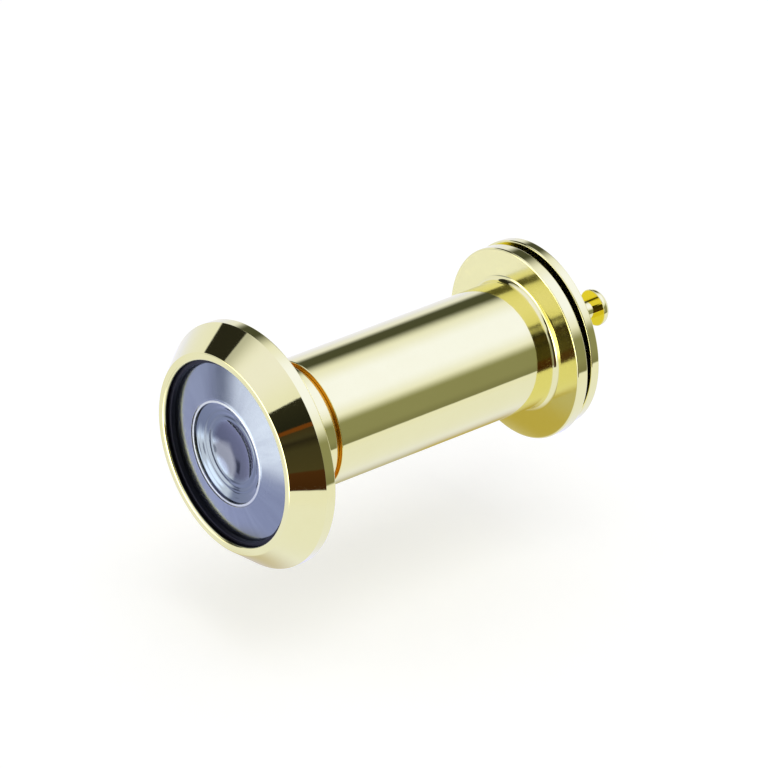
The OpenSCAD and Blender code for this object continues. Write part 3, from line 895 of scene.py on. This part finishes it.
def right_gap(s, colour, az, el):
    """Dark gap on the right: olive beside the barrel, brown to black beside the head."""
    olive = s.times(s.band(el, (-22.5, -20.5), (24.5, 10.0)), s.band(az, (10.0, 30.0), (110.0, 85.0)))
    tint = s.mix(s.smooth(el, -22.0, -8.0), (0.215, 0.22, 0.19), (0.275, 0.285, 0.25))
    colour = s.mix(olive, colour, tint)
    # colours beside the head by elevation, with one brown stripe
    tone = s.ramp(el, -30.0, 45.0, [
        (-25.0, (0.050, 0.019, 0.009)), (-9.5, (0.066, 0.026, 0.012)), (-8.5, (0.062, 0.052, 0.036)),
        (8.0, (0.052, 0.046, 0.034)), (14.0, (0.024, 0.020, 0.018)), (17.0, (0.050, 0.044, 0.036)),
        (21.5, (0.048, 0.036, 0.024)), (25.2, (0.016, 0.017, 0.018)), (40.0, (0.026, 0.026, 0.026))])
    stripe = s.times(s.smooth(az, 130.0, 133.5), s.band(el, (21.4, 22.2), (24.9, 24.1)))
    tone = s.mix(stripe, tone, (0.155, 0.048, 0.013))
    side = s.smooth(az, 136.0, 133.0)
    high_edge = s.between(side, 40.6, 38.1), s.between(side, 39.8, 27.3)
    gap = s.times(s.band(el, (-25.4, -24.4), high_edge), s.band(az, (85.0, 112.0), (166.0, 160.0)))
    return s.mix(gap, colour, tone)


def lens_lights(s, colour, az, el):
    """Second soft box low behind the head, with the patches and the strut that the lens shows."""
    round_az = s.math("MODULO", s.math("ADD", az, 360.0), 360.0)

    def off(centre):
        """How far the azimuth lies from a centre."""
        return s.math("ABSOLUTE", s.math("SUBTRACT", round_az, centre))

    box = s.times(s.smooth(off(185.0), 43.0, 33.0), s.band(el, (-33.5, -29.0), (24.0, 12.0)))
    colour = s.mix(box, colour, (2.6, 2.6, 3.2))
    # soft round patches: azimuth, elevation, half width, half height, share, colour
    for at_az, at_el, half_az, half_el, share, rgb in (
            (196.0, 4.0, 15.0, 12.0, 1.0, (3.9, 4.1, 5.4)),
            (184.0, -36.0, 14.0, 11.0, 1.0, (3.8, 4.0, 5.2)),
            (160.0, -4.0, 15.0, 16.0, 1.0, (3.6, 3.8, 5.0)),
            (181.0, -15.0, 5.0, 6.0, 1.0, (1.1, 1.1, 1.5)),
            (218.0, -38.0, 6.0, 4.5, 0.5, (0.30, 0.33, 0.50))):
        across = s.math("DIVIDE", s.math("SUBTRACT", round_az, at_az), half_az)
        along = s.math("DIVIDE", s.math("SUBTRACT", el, at_el), half_el)
        inside = s.smooth(s.length(across, along), 1.3, 0.7)
        colour = s.mix(s.times(inside, share), colour, rgb)
    strut = s.times(s.smooth(off(229.0), 5.0, 2.0), s.band(el, (-25.0, -19.0), (-5.0, -9.0)))
    return s.mix(s.times(strut, 0.85), colour, (0.20, 0.22, 0.40))


def environment():
    """Studio that the metal and the lens mirror, by azimuth and elevation in degrees; white behind."""
    world = bpy.data.worlds.new("studio")
    bpy.context.scene.world = world
    world.use_nodes = True
    s = Shader(world.node_tree)
    direction = s.node("ShaderNodeTexCoord").outputs["Generated"]
    x, y, z = s.node("ShaderNodeSeparateXYZ", direction).outputs
    degrees = 180 / math.pi
    az = s.times(s.math("ARCTAN2", x, y), degrees)
    el = s.times(s.math("ARCSINE", z), degrees)
    colour = pale_studio(s, direction, az, el)
    colour = left_gap(s, colour, az, el)
    colour = right_gap(s, colour, az, el)
    colour = lens_lights(s, colour, az, el)
    # mirror images see the studio, the camera sees white, and plain grey lights the rest
    mirrored = s.node("ShaderNodeLightPath").outputs["Is Glossy Ray"]
    colour = s.mix(mirrored, (0.75, 0.75, 0.75), colour)
    colour = s.mix(s.seen(), colour, (1.0, 1.0, 1.0))
    s.surface("ShaderNodeOutputWorld", s.node("ShaderNodeBackground", colour))


def ground(name, half, z, paint):
    """A level square that belongs to the stage."""
    corners = [(-half, -half, z), (half, -half, z), (half, half, z), (-half, half, z)]
    mesh = bpy.data.meshes.new(name)
    mesh.from_pydata(corners, [], [(0, 1, 2, 3)])
    mesh.materials.append(paint)
    made = bpy.data.objects.new(name, mesh)
    bpy.context.scene.collection.objects.link(made)
    return made


def floor():
    """Plain pale floor, low enough for the cover at every joint limit."""
    paint, s = new_paint("floor_paint")
    speck = s.noise(s.node("ShaderNodeNewGeometry").outputs["Position"], 900.0, 4.0, 0.6)
    diffuse = s.node("ShaderNodeBsdfDiffuse", s.mix(speck, (0.80, 0.80, 0.80), (0.84, 0.84, 0.84)))
    glow = s.node("ShaderNodeEmission")
    s.put(s.times(s.seen(), 0.30), glow.inputs["Strength"])
    lit = s.node("ShaderNodeAddShader", diffuse.outputs[0], glow.outputs[0])
    s.surface("ShaderNodeOutputMaterial", lit)
    ground("floor", 1.2, FLOOR_Z * MM, paint).visible_glossy = False


def card():
    """Pale card that only the polished metal mirrors; it fades out round the object. In metres."""
    length = 0.040
    paint, s = new_paint("card_paint")
    pos = s.node("ShaderNodeNewGeometry").outputs["Position"]
    x, y, _ = s.node("ShaderNodeSeparateXYZ", pos).outputs
    past_end = s.math("SUBTRACT", y, s.math("MINIMUM", s.math("MAXIMUM", y, 0.0), length))
    away = s.length(x, past_end)
    # painted light thrown back by the brass, golden below the barrel, and cream by the head with a painted
    # shade near the contact
    below = s.times(s.band(y, (0.006, 0.013), (0.042, 0.035)),
                    s.band(x, (-0.022, -0.014), (0.0065, -0.0015)))
    thrown = s.mix(s.smooth(y, 0.022, 0.026), (0.53, 0.50, 0.37), (0.52, 0.435, 0.16))
    # painted shade: the cream darkens within a few millimetres of where the head meets the floor
    from_contact = s.length(s.math("SUBTRACT", x, 0.0005), s.math("ADD", y, 0.001))
    cream = s.mix(s.smooth(from_contact, 0.0080, 0.0030), (0.88, 0.92, 1.52), (0.62, 0.57, 0.56))
    mirrored = s.node("ShaderNodeEmission", s.mix(below, cream, thrown))
    # the swung cover dips through the card, so near its plane the mirror image fades as well
    reach = s.node("ShaderNodeLightPath").outputs["Ray Length"]
    near = s.times(s.smooth(reach, 0.010, 0.0005), s.smooth(y, 0.026, 0.034))
    unseen = s.math("MAXIMUM", s.smooth(away, 0.022, 0.032), near)
    clear = s.node("ShaderNodeBsdfTransparent")
    faded = s.node("ShaderNodeMixShader", unseen, mirrored.outputs[0], clear.outputs[0])
    s.surface("ShaderNodeOutputMaterial", faded)
    made = ground("card", 0.08, CARD_Z * MM, paint)
    made.visible_camera = False
    made.visible_diffuse = False
    made.visible_transmission = False
    made.visible_shadow = False


def lamp():
    """One large soft lamp above the object, for the floor's shadow."""
    size, power, place_at, aimed_at = 0.5, 1.2, Vector((0.25, -0.05, 0.75)), Vector((0, 0.018, 0))
    light = bpy.data.lights.new("soft_lamp", "AREA")
    light.shape = "DISK"
    light.size = size
    light.energy = power
    made = bpy.data.objects.new("soft_lamp", light)
    made.location = place_at
    made.rotation_euler = (aimed_at - place_at).to_track_quat("-Z", "Y").to_euler()
    made.visible_glossy = False
    bpy.context.scene.collection.objects.link(made)


def camera():
    """Camera fitted to the photograph, with the origin at its pixel."""
    az, el = math.radians(VIEW_AZ), math.radians(VIEW_EL)
    back = Vector((math.sin(az) * math.cos(el), -math.cos(az) * math.cos(el), math.sin(el)))
    right = Vector((math.cos(az), math.sin(az), 0.0))
    up = back.cross(right)
    roll = math.radians(VIEW_ROLL)
    right, up = right * math.cos(roll) + up * math.sin(roll), up * math.cos(roll) - right * math.sin(roll)
    u = (ORIGIN_PX[0] - FRAME_PX / 2) / FOCAL_PX
    v = -(ORIGIN_PX[1] - FRAME_PX / 2) / FOCAL_PX
    where = (back - right * u - up * v) * VIEW_DIST
    data = bpy.data.cameras.new("camera")
    data.sensor_width = SENSOR_MM
    data.lens = FOCAL_PX * SENSOR_MM / FRAME_PX
    data.clip_start = 0.01
    data.clip_end = 10.0
    made = bpy.data.objects.new("camera", data)
    made.matrix_world = Matrix((
        (right.x, up.x, back.x, where.x),
        (right.y, up.y, back.y, where.y),
        (right.z, up.z, back.z, where.z),
        (0, 0, 0, 1)))
    bpy.context.scene.collection.objects.link(made)
    bpy.context.scene.camera = made


def finish_nodes():
    """Gives the CAD nodes that stay their materials."""
    table = {
        "lens_gasket": RUBBER,
        "front_spacer": DULL_BLACK,
        "second_lens": INNER_GLASS,
        "aperture_disc": DULL_BLACK,
        "rear_spacer": DULL_BLACK,
        "third_lens": INNER_GLASS,
        "eyepiece_gasket": RUBBER,
        "pivot_spacer": TURNED,
        "spring_washer": STEEL,
    }
    for name, paint in table.items():
        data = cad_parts[name].data
        data.materials.clear()
        data.materials.append(paint)


outer_body()
thread("stem_thread", STEM_ROOT_R, STEM_R, RELIEF_END_Y + RUN_OUT, STEM_END_Y - RUN_OUT, "outer")
retaining_ring()
front_lens()
inner_sleeve()
thread("sleeve_thread", BORE_ROOT_R, BORE_R, SLEEVE_Y + MOUTH_RUN_OUT, WEB_Y - RUN_OUT, "sleeve", False)
privacy_cover()
cover_knob()
pivot_rivet()
eyepiece_lens()
eyepiece_ring()
finish_nodes()
environment()
floor()
card()
lamp()
camera()
bpy.context.scene.view_settings.view_transform = "Standard"
